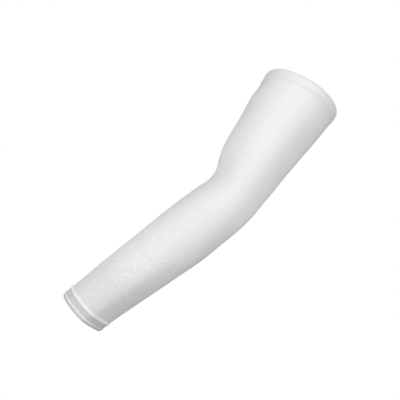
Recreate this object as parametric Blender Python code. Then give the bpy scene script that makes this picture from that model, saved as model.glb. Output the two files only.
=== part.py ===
"""Arm compression sleeve in its worn form: a knitted tube bent a little at the elbow, with a cuff
and a raised welt at the wrist and a folded hem at the top.

Metres, +Z up. The origin is the middle of the elbow bend, on the sleeve's centreline.
The upper arm runs up +Z, the forearm leans towards -X and a little towards +Y, and the point of the
elbow faces +X.
"""

import math
from collections import namedtuple

import bmesh
import bpy
from mathutils import Vector

# Lengths along the centreline, from the middle of the elbow bend
FOREARM_LENGTH = 0.2295
UPPER_ARM_LENGTH = 0.1855

# How the arm inside holds the sleeve bent
ELBOW_FLEXION = math.radians(17.0)
CARRYING_ANGLE = math.radians(13.0)
ELBOW_BEND_RADIUS = 0.130

# Outside sizes of the sleeve: width lies in the plane of the bend, depth lies across it
WRIST_WIDTH = 0.068
WRIST_DEPTH = 0.056
FOREARM_WIDTH = 0.080
FOREARM_DEPTH = 0.075
ELBOW_WIDTH = 0.078
ELBOW_DEPTH = 0.080
UPPER_ARM_WIDTH = 0.108
UPPER_ARM_DEPTH = 0.098

# How far each open end leans from square: in the plane of the bend, and across it
WRIST_SKEW = math.radians(6.5)
UPPER_SKEW = math.radians(4.0)
UPPER_SLANT = math.radians(10.0)

# Cloth and seams
CLOTH = 0.0012
HEM_CLOTH = 0.0022
SEAM_GAP = 0.0003
CUFF_LENGTH = 0.0143
CUFF_RISE = 0.0004
CUFF_RIDGE_RISE = 0.0008
CUFF_RIDGE_WIDTH = 0.0026
CUFF_ROLL = 0.0042
WELT_WIDTH = 0.0042
WELT_RISE = 0.0012
WELT_INSET = 0.0004
HEM_LENGTH = 0.0130
HEM_RISE = 0.0008
HEM_ROLL = 0.0024

# How finely the solids are faceted
SIDES = 40
TUBE_STEP = 0.012
ROLL_STEPS = 4
SHARP_ANGLE = math.radians(50.0)

Section = namedtuple("Section", "limb along width inner outer depth side")

# Cross-sections from the wrist to the top. along is a share of the limb's length from the elbow,
# inner and outer are shares of the width each side of the centreline, side is a share of the depth.
SECTIONS = (
    Section("forearm", 1.00, WRIST_WIDTH, 0.51, 0.50, WRIST_DEPTH, 0.50),
    Section("forearm", 0.88, WRIST_WIDTH, 0.52, 0.50, WRIST_DEPTH, 0.51),
    Section("forearm", 0.68, FOREARM_WIDTH, 0.47, 0.45, FOREARM_DEPTH, 0.43),
    Section("forearm", 0.45, FOREARM_WIDTH, 0.49, 0.48, FOREARM_DEPTH, 0.48),
    Section("forearm", 0.26, FOREARM_WIDTH, 0.51, 0.50, FOREARM_DEPTH, 0.50),
    Section("forearm", 0.09, FOREARM_WIDTH, 0.51, 0.48, ELBOW_DEPTH, 0.49),
    Section("upper arm", 0.00, ELBOW_WIDTH, 0.50, 0.50, ELBOW_DEPTH, 0.50),
    Section("upper arm", 0.08, ELBOW_WIDTH, 0.46, 0.51, ELBOW_DEPTH, 0.50),
    Section("upper arm", 0.15, ELBOW_WIDTH, 0.44, 0.52, ELBOW_DEPTH, 0.51),
    Section("upper arm", 0.21, ELBOW_WIDTH, 0.45, 0.53, ELBOW_DEPTH, 0.52),
    Section("upper arm", 0.29, ELBOW_WIDTH, 0.52, 0.55, ELBOW_DEPTH, 0.54),
    Section("upper arm", 0.39, UPPER_ARM_WIDTH, 0.42, 0.41, UPPER_ARM_DEPTH, 0.45),
    Section("upper arm", 0.54, UPPER_ARM_WIDTH, 0.45, 0.44, UPPER_ARM_DEPTH, 0.47),
    Section("upper arm", 0.76, UPPER_ARM_WIDTH, 0.49, 0.47, UPPER_ARM_DEPTH, 0.49),
    Section("upper arm", 1.00, UPPER_ARM_WIDTH, 0.51, 0.50, UPPER_ARM_DEPTH, 0.50),
)

# The centreline's two straight directions, and the arc that joins them
UP_ARM = Vector((0.0, 0.0, 1.0))
UP_FOREARM = Vector(
    (
        math.sin(ELBOW_FLEXION) * math.cos(CARRYING_ANGLE),
        -math.sin(CARRYING_ANGLE),
        math.cos(ELBOW_FLEXION) * math.cos(CARRYING_ANGLE),
    )
)
BEND_MIDDLE = (UP_FOREARM + UP_ARM).normalized()
BEND_INWARD = (UP_ARM - UP_FOREARM).normalized()
HALF_BEND = UP_FOREARM.angle(UP_ARM) / 2


def centreline(station):
    """The point and the direction of the centreline, at a length along it from the elbow."""
    half_arc = ELBOW_BEND_RADIUS * HALF_BEND
    on_arc = max(-half_arc, min(half_arc, station))
    turn = on_arc / ELBOW_BEND_RADIUS
    along = math.cos(turn) * BEND_MIDDLE + math.sin(turn) * BEND_INWARD
    sagitta = 1 - math.cos(turn)
    point = ELBOW_BEND_RADIUS * (math.sin(turn) * BEND_MIDDLE + sagitta * BEND_INWARD)
    return point + (station - on_arc) * along, along


def knots():
    """The section table as rows of station, inner, outer and side, in metres."""
    rows = []
    for row in SECTIONS:
        reach = -FOREARM_LENGTH if row.limb == "forearm" else UPPER_ARM_LENGTH
        sizes = (row.inner * row.width, row.outer * row.width, row.side * row.depth)
        rows.append((row.along * reach, *sizes))
    return rows


KNOTS = knots()


def slope(index, column):
    """The slope of a column of the table at one row, from the rows beside it."""
    before = KNOTS[max(index - 1, 0)]
    after = KNOTS[min(index + 1, len(KNOTS) - 1)]
    return (after[column] - before[column]) / (after[0] - before[0])


def girth(station):
    """Inner, outer and side reach of the skin at a station, on a smooth curve through the table."""
    last = len(KNOTS) - 2
    index = min(last, max(0, sum(station >= row[0] for row in KNOTS) - 1))
    low, high = KNOTS[index], KNOTS[index + 1]
    span = high[0] - low[0]
    t = min(1.0, max(0.0, (station - low[0]) / span))
    reaches = []
    for column in (1, 2, 3):
        start, end = low[column], high[column]
        leave = slope(index, column) * span
        arrive = slope(index + 1, column) * span
        bend = (2 * t**3 - 3 * t**2 + 1) * start + (3 * t**2 - 2 * t**3) * end
        reaches.append(bend + (t**3 - 2 * t**2 + t) * leave + (t**3 - t**2) * arrive)
    return reaches


def eased(share):
    """A share from 0 to 1 that starts and ends gently."""
    share = min(1.0, max(0.0, share))
    return share * share * (3 - 2 * share)


def leans(station):
    """The tangents of the section's lean in the plane of the bend, and across it."""
    at_wrist = eased(-station / FOREARM_LENGTH)
    at_top = eased(station / UPPER_ARM_LENGTH)
    skew = at_wrist * math.tan(WRIST_SKEW) + at_top * math.tan(UPPER_SKEW)
    return skew, at_top * -math.tan(UPPER_SLANT)


def ring(station, lift):
    """The points round the sleeve at a station, standing off the skin by lift."""
    centre, along = centreline(station)
    outward = Vector((0.0, 1.0, 0.0)).cross(along).normalized()
    sideways = along.cross(outward)
    inner, outer, side = girth(station)
    skew, slant = leans(station)
    points = []
    for index in range(SIDES):
        angle = math.tau * index / SIDES
        reach = outer if math.cos(angle) > 0 else inner
        x = math.cos(angle) * reach
        y = math.sin(angle) * side
        off = (math.cos(angle) * side * outward + math.sin(angle) * reach * sideways).normalized()
        lean = x * skew + y * slant
        points.append(centre + x * outward + y * sideways + lean * along + lift * off)
    return points


def edge_loop(mesh, points):
    """A closed loop of edges through the points."""
    verts = [mesh.verts.new(point) for point in points]
    return [mesh.edges.new(pair) for pair in zip(verts, verts[1:] + verts[:1])]


def loft(name, profile, closed):
    """An object whose rings follow a profile of (station, lift) pairs round the sleeve."""
    mesh = bmesh.new()
    loops = [edge_loop(mesh, ring(*place)) for place in profile]
    for low, high in zip(loops, loops[1:]):
        bmesh.ops.bridge_loops(mesh, edges=low + high)
    if closed:
        bmesh.ops.bridge_loops(mesh, edges=loops[-1] + loops[0])
    bmesh.ops.recalc_face_normals(mesh, faces=mesh.faces)
    data = bpy.data.meshes.new(name)
    mesh.to_mesh(data)
    mesh.free()
    data.shade_smooth()
    data.set_sharp_from_angle(angle=SHARP_ANGLE)
    obj = bpy.data.objects.new(name, data)
    bpy.context.scene.collection.objects.link(obj)
    return obj


def give_cloth(obj, thickness):
    """Thickens a cloth skin inwards, with square cut edges."""
    solidify = obj.modifiers.new("cloth", "SOLIDIFY")
    solidify.thickness = thickness
    solidify.offset = -1.0
    solidify.use_even_offset = True


def give_material(obj, colour, roughness):
    """A plain cloth material of its own for one piece."""
    material = bpy.data.materials.new(obj.name)
    material.use_nodes = True
    shader = material.node_tree.nodes["Principled BSDF"]
    shader.inputs["Base Color"].default_value = (*colour, 1.0)
    shader.inputs["Roughness"].default_value = roughness
    shader.inputs["Metallic"].default_value = 0.0
    obj.data.materials.append(material)


def rolled_edge(end, rise, roll, direction):
    """Profile points of a folded edge that turns in by its roll and ends at a station."""
    points = []
    for step in range(1, ROLL_STEPS + 1):
        angle = math.radians(90.0) * step / ROLL_STEPS
        along = end - direction * roll * (1 - math.sin(angle))
        points.append((along, rise - roll * (1 - math.cos(angle))))
    return points


# Where each piece starts and ends along the centreline
WRIST_END = -FOREARM_LENGTH
WELT_START = WRIST_END + CUFF_LENGTH + SEAM_GAP
TUBE_START = WELT_START + WELT_WIDTH + SEAM_GAP
TUBE_END = UPPER_ARM_LENGTH - HEM_LENGTH - SEAM_GAP
HEM_START = UPPER_ARM_LENGTH - HEM_LENGTH


def make_sleeve_tube():
    """The knitted tube, from the welt at the wrist to the hem at the top."""
    steps = math.ceil((TUBE_END - TUBE_START) / TUBE_STEP)
    length = TUBE_END - TUBE_START
    profile = [(TUBE_START + length * step / steps, 0.0) for step in range(steps + 1)]
    tube = loft("sleeve_tube", profile, closed=False)
    give_cloth(tube, CLOTH)
    give_material(tube, (0.80, 0.80, 0.80), 0.62)


def make_wrist_welt():
    """The raised rib of the seam that joins the cuff to the tube."""
    end = WELT_START + WELT_WIDTH
    profile = [(WELT_START + WELT_INSET, -CLOTH), (WELT_START, 0.0)]
    for share in (0.15, 0.35, 0.65, 0.85):
        crown = math.sin(math.pi * share) ** 0.5
        profile.append((WELT_START + share * WELT_WIDTH, crown * WELT_RISE))
    profile += [(end, 0.0), (end - WELT_INSET, -CLOTH)]
    welt = loft("wrist_welt", profile, closed=True)
    give_material(welt, (0.86, 0.86, 0.86), 0.55)


def make_wrist_cuff():
    """The folded band at the wrist, with a ridge along its edge that turns in at the opening."""
    end = WELT_START - SEAM_GAP
    ridge_end = WRIST_END + CUFF_ROLL
    ridge_middle = ridge_end + CUFF_RIDGE_WIDTH / 2
    ridge_start = ridge_end + CUFF_RIDGE_WIDTH
    profile = rolled_edge(WRIST_END, CUFF_RISE, CUFF_ROLL, -1)[::-1]
    profile += [
        (ridge_end, CUFF_RISE),
        (ridge_middle, CUFF_RISE + CUFF_RIDGE_RISE),
        (ridge_start, CUFF_RISE),
        ((ridge_start + end) / 2, CUFF_RISE),
        (end, CUFF_RISE),
    ]
    cuff = loft("wrist_cuff", profile, closed=False)
    give_cloth(cuff, HEM_CLOTH)
    give_material(cuff, (0.78, 0.78, 0.78), 0.66)


def make_upper_hem():
    """The folded band at the top, a little proud of the tube, turned in at the opening."""
    roll_start = UPPER_ARM_LENGTH - HEM_ROLL
    profile = [
        (HEM_START, HEM_RISE),
        ((HEM_START + roll_start) / 2, HEM_RISE),
        (roll_start, HEM_RISE),
    ]
    profile += rolled_edge(UPPER_ARM_LENGTH, HEM_RISE, HEM_ROLL, 1)
    hem = loft("upper_hem", profile, closed=False)
    give_cloth(hem, HEM_CLOTH)
    give_material(hem, (0.80, 0.80, 0.80), 0.64)


def main():
    for obj in list(bpy.data.objects):
        bpy.data.objects.remove(obj)
    make_sleeve_tube()
    make_wrist_welt()
    make_wrist_cuff()
    make_upper_hem()


main()
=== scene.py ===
"""Dresses the arm sleeve's plain solids in knitted cloth, and sets the studio round it.

Metres, +Z up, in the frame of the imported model: the origin is the middle of the elbow bend, the
upper arm runs up +Z, and the forearm leans towards -X and a little towards +Y.
"""

import math
from collections import namedtuple

import bpy
import numpy as np
from mathutils import Matrix, Vector


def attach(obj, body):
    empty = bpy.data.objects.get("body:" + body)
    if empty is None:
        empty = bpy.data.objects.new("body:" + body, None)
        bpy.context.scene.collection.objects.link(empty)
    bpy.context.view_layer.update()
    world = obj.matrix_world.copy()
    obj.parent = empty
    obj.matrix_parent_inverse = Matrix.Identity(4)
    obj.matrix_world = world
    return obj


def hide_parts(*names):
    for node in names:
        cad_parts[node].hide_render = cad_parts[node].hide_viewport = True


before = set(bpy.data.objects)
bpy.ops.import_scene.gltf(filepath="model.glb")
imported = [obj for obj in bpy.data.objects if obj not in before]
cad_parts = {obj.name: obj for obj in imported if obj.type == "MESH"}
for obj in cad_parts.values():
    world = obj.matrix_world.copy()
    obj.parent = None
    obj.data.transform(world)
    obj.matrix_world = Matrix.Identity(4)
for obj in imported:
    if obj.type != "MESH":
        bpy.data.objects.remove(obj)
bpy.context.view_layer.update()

bl_info = {
    "name": "Arm sleeve dressing",
    "version": (1, 0, 0),
    "blender": (4, 5, 0),
    "location": "3D View > Sidebar > Arm sleeve",
    "description": "Knitted cloth, folded bands, seams and a studio for the arm sleeve",
    "category": "Object",
}

# The sleeve's own sizes, as its solids have them
FOREARM_LENGTH = 0.2295
UPPER_ARM_LENGTH = 0.1855
ELBOW_FLEXION = math.radians(17.0)
CARRYING_ANGLE = math.radians(13.0)
ELBOW_BEND_RADIUS = 0.130
WRIST_WIDTH = 0.068
WRIST_DEPTH = 0.056
FOREARM_WIDTH = 0.080
FOREARM_DEPTH = 0.075
ELBOW_WIDTH = 0.078
ELBOW_DEPTH = 0.080
UPPER_ARM_WIDTH = 0.108
UPPER_ARM_DEPTH = 0.098
WRIST_SKEW = math.radians(6.5)
UPPER_SKEW = math.radians(4.0)
UPPER_SLANT = math.radians(10.0)
CUFF_LENGTH = 0.0143
WELT_WIDTH = 0.0042
HEM_LENGTH = 0.0130
SEAM_GAP = 0.0003

# The seams: how deep and how long the dips beside them are, and how far each piece reaches past
# its own seam
SEAM_DIP = 0.0004
DIP_LENGTH = 0.0020
TUBE_TUCK = 0.0020
CUFF_TUCK = 0.0006
HEM_TUCK = 0.0002
WELT_LAP = 0.0007

# The welt: how deep the gaps between its ribs are, the faces across a rib, the rings over the
# welt, and the power that makes its crown fuller than half a sine wave
WELT_RIDGE = 0.00018
RIB_FACES = 6
WELT_RINGS = 15
WELT_FULLNESS = 0.7

# The cuff and the hem: rings over the outer face, steps round the fold and round the rolled edge,
# and the share of the outer rings' spacing at which the inner layer is too crowded to go on
CUFF_RINGS = 30
HEM_RINGS = 26
FOLD_STEPS = 8
EDGE_STEPS = 9
CROWDED = 0.2

# The share of the cuff's length over which it draws in, and the length over which the hem puffs up
CUFF_FALL_SHARE = 0.45
HEM_PUFF_LENGTH = 0.0024

# The knit: how far a stitch's legs slant, in courses for each wale's width, and how far a stitch's
# height swings to both sides of its mean along the leg
LEG_SLANT = 1.2
COURSE_SWING = 0.3

# The tube's mottle: how much of it shows as colour, the stations between which it dies away, and
# the lengths from the tube's lower end at which the painted shade near the wrist is gone and full
MOTTLE_SHADE = 0.72
MOTTLE_FADE = (-0.105, -0.015)
PAINTED_SHADE_FADE = (0.10, 0.03)

# The painted highlight on the cuff's ridge, a paler stripe for the light that the ridge catches:
# its middle as a share of the way round, the shares away from it at which the stripe is gone and
# full, and the share of its half width that is full
HIGHLIGHT_MIDDLE = 0.55
HIGHLIGHT_FADE = (0.38, 0.28)
HIGHLIGHT_FULL = 0.4

# The camera's place, and its own axes
CAMERA_PLACE = (-0.08676, -0.96121, -0.17764)
CAMERA_RIGHT = (0.80443, -0.15109, 0.57451)
CAMERA_AWAY = (0.06107, 0.98302, 0.17302)
CAMERA_UP = (-0.5909, -0.10409, 0.8)

# Where each lamp stands, seen from the camera: to the right, away from it, and up. It is as far
# away as LAMP_DISTANCE says, or less, so as not to lie further below the elbow than
# LAMP_FLOOR_ROOM says
LAMP_DISTANCE = 1.8
LAMP_FLOOR_ROOM = 0.46
Lamp = namedtuple("Lamp", "name right away up size")
LAMPS = (
    Lamp("key", 0.28, -0.88, 0.38, 1.8),
    Lamp("left", -0.71, -0.63, 0.29, 0.8),
    Lamp("rear_right", 0.68, 0.52, -0.52, 0.8),
    Lamp("rear_left", -0.66, 0.67, 0.34, 0.8),
)

Section = namedtuple("Section", "limb along width inner outer depth side")
Swell = namedtuple("Swell", "place station hold fade turn spread height")

# Cross-sections from the wrist to the top. along is a share of the limb's length from the elbow,
# inner and outer are shares of the width each side of the centreline, side is a share of the depth.
SECTIONS = (
    Section("forearm", 1.00, WRIST_WIDTH, 0.51, 0.50, WRIST_DEPTH, 0.50),
    Section("forearm", 0.88, WRIST_WIDTH, 0.52, 0.50, WRIST_DEPTH, 0.51),
    Section("forearm", 0.68, FOREARM_WIDTH, 0.47, 0.45, FOREARM_DEPTH, 0.43),
    Section("forearm", 0.45, FOREARM_WIDTH, 0.49, 0.48, FOREARM_DEPTH, 0.48),
    Section("forearm", 0.26, FOREARM_WIDTH, 0.51, 0.50, FOREARM_DEPTH, 0.50),
    Section("forearm", 0.09, FOREARM_WIDTH, 0.51, 0.48, ELBOW_DEPTH, 0.49),
    Section("upper arm", 0.00, ELBOW_WIDTH, 0.50, 0.50, ELBOW_DEPTH, 0.50),
    Section("upper arm", 0.08, ELBOW_WIDTH, 0.46, 0.51, ELBOW_DEPTH, 0.50),
    Section("upper arm", 0.15, ELBOW_WIDTH, 0.44, 0.52, ELBOW_DEPTH, 0.51),
    Section("upper arm", 0.21, ELBOW_WIDTH, 0.45, 0.53, ELBOW_DEPTH, 0.52),
    Section("upper arm", 0.29, ELBOW_WIDTH, 0.52, 0.55, ELBOW_DEPTH, 0.54),
    Section("upper arm", 0.39, UPPER_ARM_WIDTH, 0.42, 0.41, UPPER_ARM_DEPTH, 0.45),
    Section("upper arm", 0.54, UPPER_ARM_WIDTH, 0.45, 0.44, UPPER_ARM_DEPTH, 0.47),
    Section("upper arm", 0.76, UPPER_ARM_WIDTH, 0.49, 0.47, UPPER_ARM_DEPTH, 0.49),
    Section("upper arm", 1.00, UPPER_ARM_WIDTH, 0.51, 0.50, UPPER_ARM_DEPTH, 0.50),
)

# Soft swells and dents of the worn form: each is full for the hold on both sides of its station,
# and gone after the fade. turn and spread are degrees round the sleeve from the point of the elbow.
SWELLS = (
    Swell("edge of the wrist's front", -FOREARM_LENGTH, 0.080, 0.085, 278.0, 36.0, 0.0014),
    Swell("flat of the wrist's underside", -FOREARM_LENGTH, 0.085, 0.080, 321.0, 42.0, -0.0024),
    Swell("front of the arm above the crook", 0.055, 0.012, 0.045, 218.0, 48.0, -0.0021),
    Swell("inside of the upper arm", 0.122, 0.006, 0.028, 180.0, 60.0, -0.0010),
    Swell("outside of the upper arm", 0.102, 0.008, 0.035, 0.0, 60.0, -0.0009),
    Swell("outer front of the upper arm", 0.105, 0.015, 0.045, 318.0, 42.0, -0.0010),
    Swell("inside of the top edge", 0.168, 0.004, 0.016, 180.0, 60.0, -0.0012),
    Swell("underside of the forearm", -0.110, 0.090, 0.050, 0.0, 70.0, -0.0007),
)

# Where each piece starts and ends along the centreline
WRIST_END = -FOREARM_LENGTH
WELT_START = WRIST_END + CUFF_LENGTH + SEAM_GAP
TUBE_START = WELT_START + WELT_WIDTH + SEAM_GAP
HEM_START = UPPER_ARM_LENGTH - HEM_LENGTH

# The hem's stitches: their line, how far to both sides of it the way up is read, the share of the
# groove's depth at which they lie, the points round the sleeve that they can be set on, and the
# bare share at each end of a stitch
STITCH_LINE = HEM_START - 0.0003
STITCH_REACH = 0.0007
STITCH_SINK = 0.75
STITCH_POINTS = 1440
STITCH_GAP = 0.14

# A stitch's thread: its rings as shares of its length, the corners of a ring, how thin its ends
# are, and the power that keeps it full between them
THREAD_RINGS = (0.0, 0.06, 0.2, 0.5, 0.8, 0.94, 1.0)
THREAD_CORNERS = 6
THREAD_TIP = 0.05
THREAD_FULLNESS = 0.4

# The centreline's two straight directions, and the arc that joins them
UP_ARM = np.array((0.0, 0.0, 1.0))
UP_FOREARM = np.array(
    (
        math.sin(ELBOW_FLEXION) * math.cos(CARRYING_ANGLE),
        -math.sin(CARRYING_ANGLE),
        math.cos(ELBOW_FLEXION) * math.cos(CARRYING_ANGLE),
    )
)


def unit(vector):
    """The vector at length one."""
    return vector / np.linalg.norm(vector)


BEND_MIDDLE = unit(UP_FOREARM + UP_ARM)
BEND_INWARD = unit(UP_ARM - UP_FOREARM)
HALF_BEND = math.acos(float(UP_FOREARM @ UP_ARM)) / 2


def centreline(station):
    """The point and the direction of the centreline, at a length along it from the elbow."""
    half_arc = ELBOW_BEND_RADIUS * HALF_BEND
    on_arc = max(-half_arc, min(half_arc, station))
    turn = on_arc / ELBOW_BEND_RADIUS
    along = math.cos(turn) * BEND_MIDDLE + math.sin(turn) * BEND_INWARD
    sagitta = 1 - math.cos(turn)
    point = ELBOW_BEND_RADIUS * (math.sin(turn) * BEND_MIDDLE + sagitta * BEND_INWARD)
    return point + (station - on_arc) * along, along


def knots():
    """The section table as rows of station, inner, outer and side, in metres."""
    rows = []
    for row in SECTIONS:
        reach = -FOREARM_LENGTH if row.limb == "forearm" else UPPER_ARM_LENGTH
        sizes = (row.inner * row.width, row.outer * row.width, row.side * row.depth)
        rows.append((row.along * reach, *sizes))
    return rows


KNOTS = knots()


def slope(index, column):
    """The slope of a column of the table at one row, from the rows beside it."""
    before = KNOTS[max(index - 1, 0)]
    after = KNOTS[min(index + 1, len(KNOTS) - 1)]
    return (after[column] - before[column]) / (after[0] - before[0])


def girth(station):
    """Inner, outer and side reach of the skin at a station, on a smooth curve through the table."""
    last = len(KNOTS) - 2
    index = min(last, max(0, sum(station >= row[0] for row in KNOTS) - 1))
    low, high = KNOTS[index], KNOTS[index + 1]
    span = high[0] - low[0]
    t = min(1.0, max(0.0, (station - low[0]) / span))
    reaches = []
    for column in (1, 2, 3):
        start, end = low[column], high[column]
        leave = slope(index, column) * span
        arrive = slope(index + 1, column) * span
        bend = (2 * t**3 - 3 * t**2 + 1) * start + (3 * t**2 - 2 * t**3) * end
        reaches.append(bend + (t**3 - 2 * t**2 + t) * leave + (t**3 - t**2) * arrive)
    return reaches


def eased(share):
    """A share from 0 to 1 that starts and ends gently."""
    share = min(1.0, max(0.0, share))
    return share * share * (3 - 2 * share)


def leans(station):
    """The tangents of the section's lean in the plane of the bend, and across it."""
    at_wrist = eased(-station / FOREARM_LENGTH)
    at_top = eased(station / UPPER_ARM_LENGTH)
    skew = at_wrist * math.tan(WRIST_SKEW) + at_top * math.tan(UPPER_SKEW)
    return skew, at_top * -math.tan(UPPER_SLANT)


def relief(station, angle):
    """How far the soft swells lift the skin at a station, for each angle round it."""
    lift = np.zeros(len(angle))
    for row in SWELLS:
        near = 1 - eased((abs(station - row.station) - row.hold) / row.fade)
        away = np.abs((np.degrees(angle) - row.turn + 180) % 360 - 180) / row.spread
        lift += row.height * near * np.cos(math.pi / 2 * np.minimum(1.0, away)) ** 2
    return lift


def ring(station, lift, sides, shift=0.0):
    """The points round the sleeve at a station, and the directions that stand straight off it.
    lift stands the points off the skin and shift moves them along the centreline: a number, or
    one for each point."""
    centre, along = centreline(station)
    outward = unit(np.cross((0.0, 1.0, 0.0), along))
    sideways = np.cross(along, outward)
    inner, outer, side = girth(station)
    skew, slant = leans(station)
    angle = np.arange(sides) * (math.tau / sides)
    reach = np.where(np.cos(angle) > 0, outer, inner)
    x, y = np.cos(angle) * reach, np.sin(angle) * side
    off = (np.cos(angle) * side)[:, None] * outward + (np.sin(angle) * reach)[:, None] * sideways
    off /= np.linalg.norm(off, axis=1)[:, None]
    lean = (x * skew + y * slant)[:, None] * along
    skin = centre + x[:, None] * outward + y[:, None] * sideways + lean
    raised = np.reshape(relief(station, angle) + lift, (-1, 1)) * off
    return skin + raised + np.reshape(shift, (-1, 1)) * along, off


def mesh_object(name, points, faces):
    """A mesh object in the scene, made of points and faces."""
    mesh = bpy.data.meshes.new(name)
    mesh.from_pydata(points, [], faces)
    obj = bpy.data.objects.new(name, mesh)
    bpy.context.scene.collection.objects.link(obj)
    return obj


def band(name, profile, sides, closed=False, shift=None):
    """A mesh object whose rings follow a profile of (station, lift) pairs round the sleeve. Its UV
    map holds the share of the way round and the length along the profile, in metres. With shift,
    a function of the station and the side count, the rings also move along the centreline."""
    rows = []
    for station, lift in profile:
        move = shift(station, sides) if shift else 0.0
        rows.append(ring(station, lift, sides, move)[0])
    count = len(rows)
    bands = count if closed else count - 1
    low = np.arange(bands)[:, None] * sides + np.arange(sides)
    right = np.arange(bands)[:, None] * sides + (np.arange(sides) + 1) % sides
    up = (low + sides) % (count * sides)
    up_right = (right + sides) % (count * sides)
    faces = np.stack((low, right, up_right, up), -1).reshape(-1, 4)
    obj = mesh_object(name, np.concatenate(rows).tolist(), faces.tolist())
    along = [0.0]
    for before, after in zip(profile, profile[1:] + profile[:1]):
        lifts = [float(np.mean(lift)) for lift in (before[1], after[1])]
        along.append(along[-1] + math.hypot(after[0] - before[0], lifts[1] - lifts[0]))
    uv = np.zeros((bands, sides, 4, 2))
    share = np.arange(sides) / sides
    uv[:, :, :, 0] = share[None, :, None] + np.array((0, 1, 1, 0)) / sides
    lengths = np.array(along)
    uv[:, :, :2, 1] = lengths[:bands, None, None]
    uv[:, :, 2:, 1] = lengths[1 : bands + 1, None, None]
    layer = obj.data.uv_layers.new(name="cloth")
    layer.data.foreach_set("uv", uv.reshape(-1))
    obj.data.shade_smooth()
    return obj


def inset(outline, depth):
    """An outline moved in towards the arm by a depth, and the direction that it runs at each
    point."""
    line = np.array(outline)
    run = np.gradient(line, axis=0)
    run /= np.linalg.norm(run, axis=1)[:, None]
    inward = np.stack((run[:, 1], -run[:, 0]), 1)
    if inward[0, 1] > 0:
        inward = -inward
    return line + inward * depth, run


def folded(outside, form, thickness, cloth):
    """The middle line of cloth folded back under itself at the end of an outline. outside is the
    outer face with its ridges and grooves, and form is the same face without them: the inner
    layer follows that, so that the two layers together are as thick as thickness says. It ends
    where a tight turn would crowd its points, and keeps every second one."""
    outer, run = inset(outside, cloth / 2)
    inner, _ = inset(form, thickness - cloth / 2)
    steps = np.linalg.norm(np.diff(outer, axis=0), axis=1)
    crowded = np.sum(np.diff(inner, axis=0) * run[1:], axis=1) < CROWDED * steps
    if crowded.any():
        inner = inner[: int(np.argmax(crowded)) + 1]
    middle = (outer[-1] + inner[-1]) / 2
    half = (outer[-1] - inner[-1]) / 2
    bulge = np.array((-half[1], half[0]))
    if bulge @ run[-1] < 0:
        bulge = -bulge
    turn = []
    for step in range(1, FOLD_STEPS):
        angle = math.pi * step / FOLD_STEPS
        turn.append(middle + half * math.cos(angle) + bulge * math.sin(angle))
    return [tuple(point) for point in (*outer, *turn, *inner[::-2])]


def turned_edge(station, lift, length, depth, direction):
    """The outline of an edge that rolls in along a quarter of an oval, in a (station, lift) plane,
    until it faces straight out of the opening. direction is 1 at the top and -1 at the wrist."""
    points = []
    for step in range(1, EDGE_STEPS + 1):
        angle = math.pi / 2 * step / EDGE_STEPS
        run = length * math.sin(angle)
        points.append((station + direction * run, lift - depth * (1 - math.cos(angle))))
    return points


def thicken(obj, thickness, offset):
    """Gives a cloth surface its thickness: inwards at offset -1, and to both sides at 0."""
    shell = obj.modifiers.new("cloth", "SOLIDIFY")
    shell.thickness = thickness
    shell.offset = offset
    shell.use_even_offset = True
    return obj


def add_node(tree, kind, label, **settings):
    """A shader node with a plain label, and its properties set."""
    node = tree.nodes.new(kind)
    node.label = label
    for name, value in settings.items():
        setattr(node, name, value)
    return node


def math_node(tree, operation, *values, label=""):
    """A sum on sockets or numbers, as a shader node's output."""
    node = add_node(tree, "ShaderNodeMath", label or operation.lower(), operation=operation)
    for socket, value in zip(node.inputs, values):
        if isinstance(value, bpy.types.NodeSocket):
            tree.links.new(value, socket)
        else:
            socket.default_value = value
    return node.outputs[0]


def eased_between(tree, value, low, high):
    """A shader value that goes gently from 0 at low to 1 at high."""
    node = add_node(tree, "ShaderNodeMapRange", "fade", interpolation_type="SMOOTHSTEP")
    tree.links.new(value, node.inputs["Value"])
    node.inputs["From Min"].default_value = low
    node.inputs["From Max"].default_value = high
    return node.outputs["Result"]


def stitch_height(tree, across, along, wales, course):
    """The height of plain knitting, from 0 between the yarns to 1 on top of them: columns of
    V-shaped stitches, one column for each wale. side goes from 0 in the middle of a column to 0.5
    at its edges, and leg from -1 to 1 across one leg of the V."""
    column = math_node(tree, "FRACT", math_node(tree, "MULTIPLY", across, float(wales)))
    side = math_node(tree, "ABSOLUTE", math_node(tree, "SUBTRACT", column, 0.5))
    leg = math_node(tree, "MULTIPLY", math_node(tree, "SUBTRACT", side, 0.25), 4.0)
    round_leg = math_node(tree, "SUBTRACT", 1.0, math_node(tree, "MULTIPLY", leg, leg))
    row = math_node(tree, "DIVIDE", along, course)
    slanted = math_node(tree, "SUBTRACT", row, math_node(tree, "MULTIPLY", side, LEG_SLANT))
    wave = math_node(tree, "COSINE", math_node(tree, "MULTIPLY", slanted, math.tau))
    rung = math_node(tree, "MULTIPLY_ADD", wave, COURSE_SWING, 1 - COURSE_SWING)
    return math_node(tree, "MULTIPLY", round_leg, rung, label="knit height")


def new_material(name, roughness):
    """A material, with its node tree and its shader."""
    material = bpy.data.materials.new(name)
    material.use_nodes = True
    tree = material.node_tree
    shader = tree.nodes["Principled BSDF"]
    shader.inputs["Roughness"].default_value = roughness
    return material, tree, shader


def paint(tree, shader, colour, lightness, label):
    """Gives a shader its colour, which a shader value makes lighter or darker."""
    tint = add_node(tree, "ShaderNodeVectorMath", label, operation="SCALE")
    tint.inputs[0].default_value = tuple(colour)
    tree.links.new(lightness, tint.inputs["Scale"])
    tree.links.new(tint.outputs["Vector"], shader.inputs["Base Color"])


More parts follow.
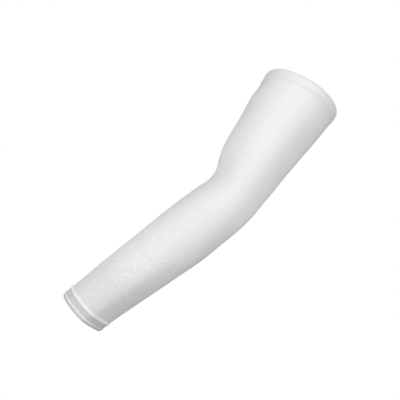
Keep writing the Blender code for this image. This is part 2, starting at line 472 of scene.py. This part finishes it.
def knitted(name, colour, cloth, roughness, fade=None, ridge_highlight=None):
    """White stretch knit: stitches, a fine mottle where the yarn swells and thins, and a soft
    sheen. With fade, a pair of lengths along the cloth, the mottle dies away between them, and
    the knit is painted greyer near the wrist as shade. With the last argument, a length along
    the cloth, a half width and a share, the cloth is painted paler there as a highlight on the
    cuff's ridge, but not towards the point of the elbow."""
    material, tree, shader = new_material(name, roughness)
    shader.inputs["Specular IOR Level"].default_value = 0.5
    shader.inputs["Sheen Weight"].default_value = cloth.sheen
    shader.inputs["Sheen Roughness"].default_value = 0.5

    place = add_node(tree, "ShaderNodeUVMap", "place on the cloth", uv_map="cloth")
    split = add_node(tree, "ShaderNodeSeparateXYZ", "round and along")
    tree.links.new(place.outputs["UV"], split.inputs["Vector"])
    across, along = split.outputs["X"], split.outputs["Y"]
    knit = stitch_height(tree, across, along, cloth.wales, cloth.course)

    where = add_node(tree, "ShaderNodeTexCoord", "place in space")
    grain = add_node(tree, "ShaderNodeTexNoise", "mottle")
    tree.links.new(where.outputs["Object"], grain.inputs["Vector"])
    grain.inputs["Scale"].default_value = 1 / cloth.mottle_size
    grain.inputs["Detail"].default_value = 2.0
    grain.inputs["Roughness"].default_value = 0.6
    speckle = math_node(tree, "SUBTRACT", grain.outputs["Fac"], 0.5, label="speckle")
    if fade is None:
        strength = cloth.quiet_mottle
    else:
        rest = eased_between(tree, along, *fade)
        span = cloth.quiet_mottle - cloth.mottle
        strength = math_node(tree, "MULTIPLY_ADD", rest, span, cloth.mottle, label="strength")
    speckle = math_node(tree, "MULTIPLY", speckle, strength, label="speckle here")

    base = 1.0 - cloth.gap_shade
    lightness = math_node(tree, "MULTIPLY_ADD", speckle, MOTTLE_SHADE, base, label="lightness")
    # Painted shade: near the wrist the knit is painted greyer all round, for the shade on the
    # wrist's underside
    if fade is not None:
        painted_shade_share = eased_between(tree, along, *PAINTED_SHADE_FADE)
        darker = math_node(tree, "MULTIPLY", painted_shade_share, cloth.wrist_shade, label="knit painted as shade")
        lightness = math_node(tree, "SUBTRACT", lightness, darker, label="lightness here")
    # Painted highlight: the cuff's ridge is painted paler, and left plain towards the point of the
    # elbow, where the ridge lies in shade
    if ridge_highlight is not None:
        middle, half, share = ridge_highlight
        away = math_node(tree, "ABSOLUTE", math_node(tree, "SUBTRACT", along, middle))
        near = eased_between(tree, away, half, HIGHLIGHT_FULL * half)
        turned = math_node(tree, "ABSOLUTE", math_node(tree, "SUBTRACT", across, HIGHLIGHT_MIDDLE))
        shown = math_node(tree, "MULTIPLY", eased_between(tree, turned, *HIGHLIGHT_FADE), share)
        paler = math_node(tree, "MULTIPLY", near, shown)
        lightness = math_node(tree, "ADD", lightness, paler, label="paler stripe")
    raised = math_node(
        tree, "MULTIPLY_ADD", knit, cloth.gap_shade, lightness, label="lighter on the yarn"
    )
    paint(tree, shader, colour, raised, "cloth colour")

    fine = add_node(tree, "ShaderNodeBump", "stitches")
    fine.inputs["Strength"].default_value = 0.5
    fine.inputs["Distance"].default_value = cloth.stitch_depth
    tree.links.new(knit, fine.inputs["Height"])
    coarse = add_node(tree, "ShaderNodeBump", "mottle relief")
    coarse.inputs["Strength"].default_value = 1.0
    coarse.inputs["Distance"].default_value = cloth.mottle_depth
    tree.links.new(speckle, coarse.inputs["Height"])
    tree.links.new(fine.outputs["Normal"], coarse.inputs["Normal"])
    tree.links.new(coarse.outputs["Normal"], shader.inputs["Normal"])
    return material


def finish_piece(obj, material, node):
    """Dresses a piece and ties it to the frame, in place of its plain solid."""
    obj.data.materials.append(material)
    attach(obj, "root")
    if node:
        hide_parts(node)


class ClothSettings(bpy.types.PropertyGroup):
    """The knit's sizes and its look."""

    colour: bpy.props.FloatVectorProperty(
        name="Cloth colour",
        description="Colour of the knitted tube",
        subtype="COLOR",
        size=3,
        min=0.0,
        max=1.0,
        default=(0.80, 0.80, 0.80),
    )
    thickness: bpy.props.FloatProperty(
        name="Cloth thickness",
        description="Thickness of the tube's single layer",
        unit="LENGTH",
        default=0.0012,
    )
    sides: bpy.props.IntProperty(
        name="Sides",
        description="Faces round the tube",
        default=144,
    )
    step: bpy.props.FloatProperty(
        name="Ring spacing",
        description="Length of the tube's faces",
        unit="LENGTH",
        default=0.0026,
    )
    wales: bpy.props.IntProperty(
        name="Wales",
        description="Columns of stitches round the tube",
        default=300,
    )
    course: bpy.props.FloatProperty(
        name="Course height",
        description="Height of one row of stitches",
        unit="LENGTH",
        default=0.0008,
    )
    stitch_depth: bpy.props.FloatProperty(
        name="Stitch depth",
        description="How deep the gaps between the yarns are",
        unit="LENGTH",
        default=0.00012,
    )
    gap_shade: bpy.props.FloatProperty(
        name="Gap shade",
        description="How much darker the gaps between the yarns are",
        subtype="FACTOR",
        default=0.10,
    )
    mottle_size: bpy.props.FloatProperty(
        name="Mottle size",
        description="Size of the uneven patches in the knit",
        unit="LENGTH",
        default=0.0022,
    )
    mottle: bpy.props.FloatProperty(
        name="Mottle on the forearm",
        description="Strength of the uneven patches on the forearm",
        subtype="FACTOR",
        default=0.5,
    )
    quiet_mottle: bpy.props.FloatProperty(
        name="Mottle elsewhere",
        description="Strength of the uneven patches on the upper arm and the bands",
        subtype="FACTOR",
        default=0.10,
    )
    mottle_depth: bpy.props.FloatProperty(
        name="Mottle relief",
        description="How far the uneven patches stand up",
        unit="LENGTH",
        default=0.0008,
    )
    # Painted shade: how much greyer the knit is painted near the wrist
    wrist_shade: bpy.props.FloatProperty(
        name="Wrist shade",
        description="How much greyer the knit painted as shade is near the wrist",
        subtype="FACTOR",
        default=0.09,
    )
    sheen: bpy.props.FloatProperty(
        name="Sheen",
        description="Soft glow of the yarn's loose fibres",
        subtype="FACTOR",
        default=0.08,
    )


class BandSettings(bpy.types.PropertyGroup):
    """The cuff, the welt and the hem."""

    layer: bpy.props.FloatProperty(
        name="Layer thickness",
        description="Thickness of one layer of a folded band",
        unit="LENGTH",
        default=0.0009,
    )
    fold: bpy.props.FloatProperty(
        name="Folded thickness",
        description="Thickness of both layers of a folded band together",
        unit="LENGTH",
        default=0.0024,
    )
    sides: bpy.props.IntProperty(
        name="Sides",
        description="Faces round a band",
        default=160,
    )
    # The cuff's colour is darker than the tube's knit: partly the band's own greyer tone, partly
    # painted shade
    cuff_colour: bpy.props.FloatVectorProperty(
        name="Cuff colour",
        description="Colour of the wrist cuff",
        subtype="COLOR",
        size=3,
        min=0.0,
        max=1.0,
        default=(0.59, 0.59, 0.59),
    )
    cuff_rise: bpy.props.FloatProperty(
        name="Cuff rise",
        description="How far the cuff stands off the line of the tube",
        unit="LENGTH",
        default=0.0004,
    )
    cuff_fall: bpy.props.FloatProperty(
        name="Cuff fall",
        description="How far the cuff draws in between the welt and its edge",
        unit="LENGTH",
        default=0.0006,
    )
    cuff_ridge: bpy.props.FloatProperty(
        name="Cuff ridge",
        description="Height of the ridge near the cuff's edge",
        unit="LENGTH",
        default=0.0006,
    )
    cuff_ridge_width: bpy.props.FloatProperty(
        name="Ridge width",
        description="Width of the ridge near the cuff's edge",
        unit="LENGTH",
        default=0.0034,
    )
    cuff_ridge_place: bpy.props.FloatProperty(
        name="Ridge place",
        description="How far the middle of the ridge lies from the cuff's edge",
        unit="LENGTH",
        default=0.0050,
    )
    # Painted highlight: how much paler the ridge near the cuff's edge is painted
    cuff_stripe: bpy.props.FloatProperty(
        name="Painted ridge highlight",
        description="How much paler the knit is on the ridge near the cuff's edge",
        subtype="FACTOR",
        default=0.32,
    )
    cuff_roll: bpy.props.FloatProperty(
        name="Cuff roll",
        description="Radius of the cuff's turned-in edge",
        unit="LENGTH",
        default=0.0026,
    )
    # The welt's colour is lighter than the tube's knit: painted highlight for the light that the
    # raised rib catches
    welt_colour: bpy.props.FloatVectorProperty(
        name="Welt colour",
        description="Colour of the raised rib above the cuff",
        subtype="COLOR",
        size=3,
        min=0.0,
        max=1.0,
        default=(0.86, 0.86, 0.86),
    )
    welt_rise: bpy.props.FloatProperty(
        name="Welt rise",
        description="Height of the rib above the cuff",
        unit="LENGTH",
        default=0.0008,
    )
    welt_ribs: bpy.props.IntProperty(
        name="Welt stitches",
        description="Cross stitches round the rib",
        default=150,
    )
    hem_colour: bpy.props.FloatVectorProperty(
        name="Hem colour",
        description="Colour of the hem at the top",
        subtype="COLOR",
        size=3,
        min=0.0,
        max=1.0,
        default=(0.79, 0.79, 0.79),
    )
    hem_rise: bpy.props.FloatProperty(
        name="Hem rise",
        description="How far the hem puffs off the line of the tube",
        unit="LENGTH",
        default=0.0005,
    )
    hem_roll: bpy.props.FloatProperty(
        name="Hem roll",
        description="Length over which the hem rolls in towards its edge",
        unit="LENGTH",
        default=0.0045,
    )
    hem_turn: bpy.props.FloatProperty(
        name="Hem turn",
        description="How far the hem's edge rolls in towards the arm",
        unit="LENGTH",
        default=0.0022,
    )
    hem_reach: bpy.props.FloatProperty(
        name="Hem reach",
        description="How much higher the hem's edge stands on the inside of the bend",
        unit="LENGTH",
        default=0.0044,
    )
    groove: bpy.props.FloatProperty(
        name="Stitch groove",
        description="Depth of the groove that the hem's stitches pull",
        unit="LENGTH",
        default=0.0001,
    )
    stitch: bpy.props.FloatProperty(
        name="Stitch length",
        description="Length of one stitch of the hem, gap included",
        unit="LENGTH",
        default=0.0034,
    )
    thread: bpy.props.FloatProperty(
        name="Thread thickness",
        description="Thickness of the hem's thread",
        unit="LENGTH",
        default=0.0004,
    )
    thread_colour: bpy.props.FloatVectorProperty(
        name="Thread colour",
        description="Colour of the hem's thread",
        subtype="COLOR",
        size=3,
        min=0.0,
        max=1.0,
        default=(0.80, 0.80, 0.80),
    )


class StudioSettings(bpy.types.PropertyGroup):
    """The floor, the light and the camera."""

    floor_drop: bpy.props.FloatProperty(
        name="Floor drop",
        description="How far the floor lies below the elbow",
        unit="LENGTH",
        default=0.55,
    )
    floor_radius: bpy.props.FloatProperty(
        name="Floor radius",
        description="Radius of the round floor",
        unit="LENGTH",
        default=0.9,
    )
    floor_colour: bpy.props.FloatVectorProperty(
        name="Floor colour",
        description="Colour of the floor",
        subtype="COLOR",
        size=3,
        min=0.0,
        max=1.0,
        default=(0.86, 0.86, 0.86),
    )
    surround: bpy.props.FloatProperty(
        name="Surround light",
        description="Brightness of the even light from all sides",
        default=0.30,
    )
    key: bpy.props.FloatProperty(
        name="Key light",
        description="Brightness of the large light above the camera",
        default=0.84,
    )
    left: bpy.props.FloatProperty(
        name="Left light",
        description="Brightness of the light at the left",
        default=0.25,
    )
    rear_right: bpy.props.FloatProperty(
        name="Rear right light",
        description="Brightness of the low light behind the sleeve, at the right",
        default=0.17,
    )
    rear_left: bpy.props.FloatProperty(
        name="Rear left light",
        description="Brightness of the high light behind the sleeve, at the left",
        default=0.13,
    )
    lens: bpy.props.FloatProperty(
        name="Lens",
        description="Focal length of the camera, in millimetres",
        default=67.9,
    )


class ARMSLEEVE_OT_tube(bpy.types.Operator):
    """Knit the tube from the welt at the wrist to the hem at the top"""

    bl_idname = "arm_sleeve.tube"
    bl_label = "Sleeve tube"

    def execute(self, context):
        cloth = context.scene.arm_sleeve_cloth
        start = WELT_START + 0.5 * WELT_WIDTH
        end = HEM_START + TUBE_TUCK
        steps = round((end - start) / cloth.step)
        profile = []
        for station in np.linspace(start, end, steps + 1):
            at_welt = eased((TUBE_START + DIP_LENGTH - station) / DIP_LENGTH)
            at_hem = eased((station - HEM_START + DIP_LENGTH) / DIP_LENGTH)
            profile.append((float(station), -SEAM_DIP * max(at_welt, at_hem)))
        tube = thicken(band("sleeve_cloth", profile, cloth.sides), cloth.thickness, -1)
        fade = [station - start for station in MOTTLE_FADE]
        material = knitted("sleeve knit", cloth.colour, cloth, roughness=0.45, fade=fade)
        finish_piece(tube, material, "sleeve_tube")
        return {"FINISHED"}


class ARMSLEEVE_OT_welt(bpy.types.Operator):
    """Raise the stitched rib between the cuff and the tube"""

    bl_idname = "arm_sleeve.welt"
    bl_label = "Wrist welt"

    def execute(self, context):
        cloth, bands = context.scene.arm_sleeve_cloth, context.scene.arm_sleeve_bands
        sides = bands.welt_ribs * RIB_FACES
        angle = np.arange(sides) * (math.tau / sides) * bands.welt_ribs
        ridges = 0.5 + 0.5 * np.cos(angle)
        profile = []
        low = WELT_START - WELT_LAP
        width = WELT_WIDTH + WELT_LAP
        for share in np.linspace(0.0, 1.0, WELT_RINGS):
            crown = math.sin(math.pi * share) ** WELT_FULLNESS
            lift = crown * (bands.welt_rise + SEAM_DIP - WELT_RIDGE * (1 - ridges)) - SEAM_DIP
            profile.append((low + float(share) * width, lift))
        for place in (width - WELT_LAP, WELT_LAP):
            profile.append((low + place, np.full(sides, -bands.fold / 2)))
        welt = band("welt_rib", profile, sides, closed=True)
        material = knitted("welt knit", bands.welt_colour, cloth, roughness=0.45)
        finish_piece(welt, material, "wrist_welt")
        return {"FINISHED"}


class ARMSLEEVE_OT_cuff(bpy.types.Operator):
    """Fold the band at the wrist, with a ridge near its edge, and turn it in at the opening"""

    bl_idname = "arm_sleeve.cuff"
    bl_label = "Wrist cuff"

    def execute(self, context):
        cloth, bands = context.scene.arm_sleeve_cloth, context.scene.arm_sleeve_bands
        start = WELT_START + CUFF_TUCK
        end = WRIST_END + bands.cuff_roll
        outside, form = [], []
        for share in np.linspace(0.0, 1.0, CUFF_RINGS):
            station = float(start + (end - start) * share)
            near = (station - WRIST_END - bands.cuff_ridge_place) / bands.cuff_ridge_width
            ridge = math.cos(math.pi * min(0.5, max(-0.5, near))) ** 2
            sunk = SEAM_DIP * (1 - eased((start - station) / DIP_LENGTH))
            lift = bands.cuff_rise - bands.cuff_fall * eased(share / CUFF_FALL_SHARE)
            form.append((station, lift))
            outside.append((station, lift + bands.cuff_ridge * ridge - sunk))
        edge = turned_edge(*form[-1], bands.cuff_roll, bands.cuff_roll, -1)
        profile = folded(outside + edge, form + edge, bands.fold, bands.layer)
        cuff = thicken(band("cuff_band", profile, bands.sides), bands.layer, 0)
        # Painted highlight: a paler stripe is painted along the crest of the ridge near the cuff's
        # edge, for the light that the ridge catches
        crest = start - WRIST_END - bands.cuff_ridge_place
        ridge_highlight = (crest, bands.cuff_ridge_width / 2, bands.cuff_stripe)
        material = knitted("cuff knit", bands.cuff_colour, cloth, roughness=0.50, ridge_highlight=ridge_highlight)
        finish_piece(cuff, material, "wrist_cuff")
        return {"FINISHED"}


class ARMSLEEVE_OT_hem(bpy.types.Operator):
    """Fold the band at the top and stitch it down"""

    bl_idname = "arm_sleeve.hem"
    bl_label = "Upper hem"

    def execute(self, context):
        cloth, bands = context.scene.arm_sleeve_cloth, context.scene.arm_sleeve_bands
        start = HEM_START - HEM_TUCK
        end = UPPER_ARM_LENGTH - bands.hem_roll
        outside, form = [], []
        for share in np.linspace(0.0, 1.0, HEM_RINGS):
            station = float(start + (end - start) * share)
            puffed = eased((station - HEM_START) / HEM_PUFF_LENGTH)
            sunk = (bands.hem_rise + bands.groove) * (1 - puffed)
            form.append((station, bands.hem_rise))
            outside.append((station, bands.hem_rise - sunk))
        edge = turned_edge(*form[-1], bands.hem_roll, bands.hem_turn, 1)
        profile = folded(outside + edge, form + edge, bands.fold, bands.layer)

        def inner_reach(station, sides):
            """How much further the hem reaches on the inside of the bend."""
            angle = np.arange(sides) * (math.tau / sides)
            share = eased((station - HEM_START) / HEM_LENGTH)
            return bands.hem_reach * share * np.maximum(0.0, -np.cos(angle)) ** 2

        hem = thicken(band("hem_band", profile, bands.sides, shift=inner_reach), bands.layer, 0)
        material = knitted("hem knit", bands.hem_colour, cloth, roughness=0.47)
        finish_piece(hem, material, "upper_hem")
        threads = self.stitches(bands)
        finish_piece(threads, self.thread_finish(bands), None)
        return {"FINISHED"}

    def stitches(self, bands):
        """A row of short stitches that lie in the groove below the hem."""
        line, off = ring(STITCH_LINE, -STITCH_SINK * bands.groove, STITCH_POINTS)
        above, _ = ring(STITCH_LINE + STITCH_REACH, 0.0, STITCH_POINTS)
        below, _ = ring(STITCH_LINE - STITCH_REACH, 0.0, STITCH_POINTS)
        up = above - below
        up /= np.linalg.norm(up, axis=1)[:, None]
        gaps = np.linalg.norm(np.roll(line, -1, 0) - line, axis=1)
        length = np.concatenate(([0.0], np.cumsum(gaps)))
        count = round(length[-1] / bands.stitch)
        radius = bands.thread / 2
        points, faces = [], []
        corners = THREAD_CORNERS
        for stitch in range(count):
            first = len(points)
            for share in THREAD_RINGS:
                place = stitch + STITCH_GAP + (1 - 2 * STITCH_GAP) * share
                index = int(np.searchsorted(length, length[-1] * place / count)) % STITCH_POINTS
                swell = radius * max(THREAD_TIP, math.sin(math.pi * share)) ** THREAD_FULLNESS
                for corner in range(corners):
                    angle = math.tau * corner / corners
                    side = math.cos(angle) * up[index] + math.sin(angle) * off[index]
                    points.append(tuple(line[index] + swell * side))
            last = len(points) - corners
            for row in range(first, last, corners):
                for corner in range(corners):
                    a = row + corner
                    b = row + (corner + 1) % corners
                    faces.append((a, b, b + corners, a + corners))
            faces.append(tuple(reversed(range(first, first + corners))))
            faces.append(tuple(range(last, last + corners)))
        threads = mesh_object("hem_stitches", points, faces)
        threads.data.shade_smooth()
        return threads

    def thread_finish(self, bands):
        """Twisted thread, with a fine slanted ply."""
        material, tree, shader = new_material("hem thread", roughness=0.5)
        where = add_node(tree, "ShaderNodeTexCoord", "place in space")
        ply = add_node(tree, "ShaderNodeTexWave", "ply", bands_direction="DIAGONAL")
        ply.inputs["Scale"].default_value = 900.0
        tree.links.new(where.outputs["Object"], ply.inputs["Vector"])
        dark, span = 0.85, 0.2
        shade = math_node(tree, "MULTIPLY_ADD", ply.outputs["Fac"], span, dark, label="ply shade")
        paint(tree, shader, bands.thread_colour, shade, "thread colour")
        return material


class ARMSLEEVE_OT_studio(bpy.types.Operator):
    """Set the pale floor, the soft lights and the camera round the sleeve"""

    bl_idname = "arm_sleeve.studio"
    bl_label = "Studio"

    def execute(self, context):
        studio = context.scene.arm_sleeve_studio
        context.scene.view_settings.view_transform = "Standard"
        self.floor(studio)
        self.surround(context, studio)
        right, away, up = (Vector(axis) for axis in (CAMERA_RIGHT, CAMERA_AWAY, CAMERA_UP))
        for lamp in LAMPS:
            aim = lamp.right * right + lamp.away * away + lamp.up * up
            self.lamp(lamp, aim.normalized(), getattr(studio, lamp.name))
        camera = bpy.data.objects.new("camera", bpy.data.cameras.new("camera"))
        camera.data.lens = studio.lens
        camera.data.sensor_width = 36.0
        turn = Matrix((right, up, -away)).transposed().to_4x4()
        camera.matrix_world = Matrix.Translation(Vector(CAMERA_PLACE)) @ turn
        context.scene.collection.objects.link(camera)
        context.scene.camera = camera
        return {"FINISHED"}

    def floor(self, studio):
        """A round pale floor below the sleeve."""
        sides = 96
        points = [(0.0, 0.0, -studio.floor_drop)]
        faces = []
        for side in range(sides):
            angle = math.tau * side / sides
            x, y = math.cos(angle), math.sin(angle)
            points.append((x * studio.floor_radius, y * studio.floor_radius, -studio.floor_drop))
            faces.append((0, 1 + side, 1 + (side + 1) % sides))
        obj = mesh_object("studio_floor", points, faces)
        material, _, shader = new_material("floor paint", roughness=0.8)
        shader.inputs["Base Color"].default_value = (*studio.floor_colour, 1.0)
        obj.data.materials.append(material)

    def surround(self, context, studio):
        """Even light from all sides, behind a white backdrop."""
        world = bpy.data.worlds.new("studio")
        world.use_nodes = True
        tree = world.node_tree
        tree.nodes.clear()
        seen = add_node(tree, "ShaderNodeBackground", "backdrop")
        seen.inputs["Color"].default_value = (1.0, 1.0, 1.0, 1.0)
        light = add_node(tree, "ShaderNodeBackground", "surround light")
        light.inputs["Color"].default_value = (1.0, 1.0, 1.0, 1.0)
        light.inputs["Strength"].default_value = studio.surround
        ray = add_node(tree, "ShaderNodeLightPath", "what is asking")
        pick = add_node(tree, "ShaderNodeMixShader", "backdrop or light")
        out = add_node(tree, "ShaderNodeOutputWorld", "world")
        tree.links.new(ray.outputs["Is Camera Ray"], pick.inputs["Fac"])
        tree.links.new(light.outputs["Background"], pick.inputs[1])
        tree.links.new(seen.outputs["Background"], pick.inputs[2])
        tree.links.new(pick.outputs["Shader"], out.inputs["Surface"])
        context.scene.world = world

    def lamp(self, lamp, aim, brightness):
        """A square soft light that shines on the sleeve from a direction. A low lamp stands
        closer, and its size and energy are cut by as much as keeps its light on the sleeve the
        same."""
        depth = max(-aim.z, 0.01)
        distance = min(LAMP_DISTANCE, LAMP_FLOOR_ROOM / depth)
        data = bpy.data.lights.new(lamp.name + " light", "AREA")
        data.shape = "SQUARE"
        data.size = lamp.size * distance / LAMP_DISTANCE
        data.energy = brightness * math.pi**2 * distance**2
        obj = bpy.data.objects.new(lamp.name + " light", data)
        obj.location = aim * distance
        obj.rotation_euler = (-aim).to_track_quat("-Z", "Y").to_euler()
        obj.visible_camera = False
        bpy.context.scene.collection.objects.link(obj)


class ARMSLEEVE_PT_pieces(bpy.types.Panel):
    """The sleeve's pieces and their settings"""

    bl_idname = "ARMSLEEVE_PT_pieces"
    bl_label = "Arm sleeve"
    bl_space_type = "VIEW_3D"
    bl_region_type = "UI"
    bl_category = "Arm sleeve"

    def draw(self, context):
        for group, operators in PIECES:
            box = self.layout.box()
            settings = getattr(context.scene, group)
            for name in settings.bl_rna.properties.keys():
                if name not in ("rna_type", "name"):
                    box.prop(settings, name)
            for operator in operators:
                box.operator(operator.bl_idname)


PIECES = (
    ("arm_sleeve_cloth", (ARMSLEEVE_OT_tube,)),
    ("arm_sleeve_bands", (ARMSLEEVE_OT_welt, ARMSLEEVE_OT_cuff, ARMSLEEVE_OT_hem)),
    ("arm_sleeve_studio", (ARMSLEEVE_OT_studio,)),
)
SETTINGS = (
    ("arm_sleeve_cloth", ClothSettings),
    ("arm_sleeve_bands", BandSettings),
    ("arm_sleeve_studio", StudioSettings),
)
OPERATORS = tuple(operator for _, operators in PIECES for operator in operators)
CLASSES = (*(kind for _, kind in SETTINGS), *OPERATORS, ARMSLEEVE_PT_pieces)


def register():
    """Adds the sleeve's settings, operators and panel to Blender."""
    for kind in CLASSES:
        bpy.utils.register_class(kind)
    for name, kind in SETTINGS:
        setattr(bpy.types.Scene, name, bpy.props.PointerProperty(type=kind))


def unregister():
    """Takes them away again."""
    for name, _ in SETTINGS:
        delattr(bpy.types.Scene, name)
    for kind in reversed(CLASSES):
        bpy.utils.unregister_class(kind)


def main():
    """Makes every piece and the studio."""
    register()
    for operator in OPERATORS:
        family, name = operator.bl_idname.split(".")
        getattr(getattr(bpy.ops, family), name)()


if __name__ == "__main__":
    main()
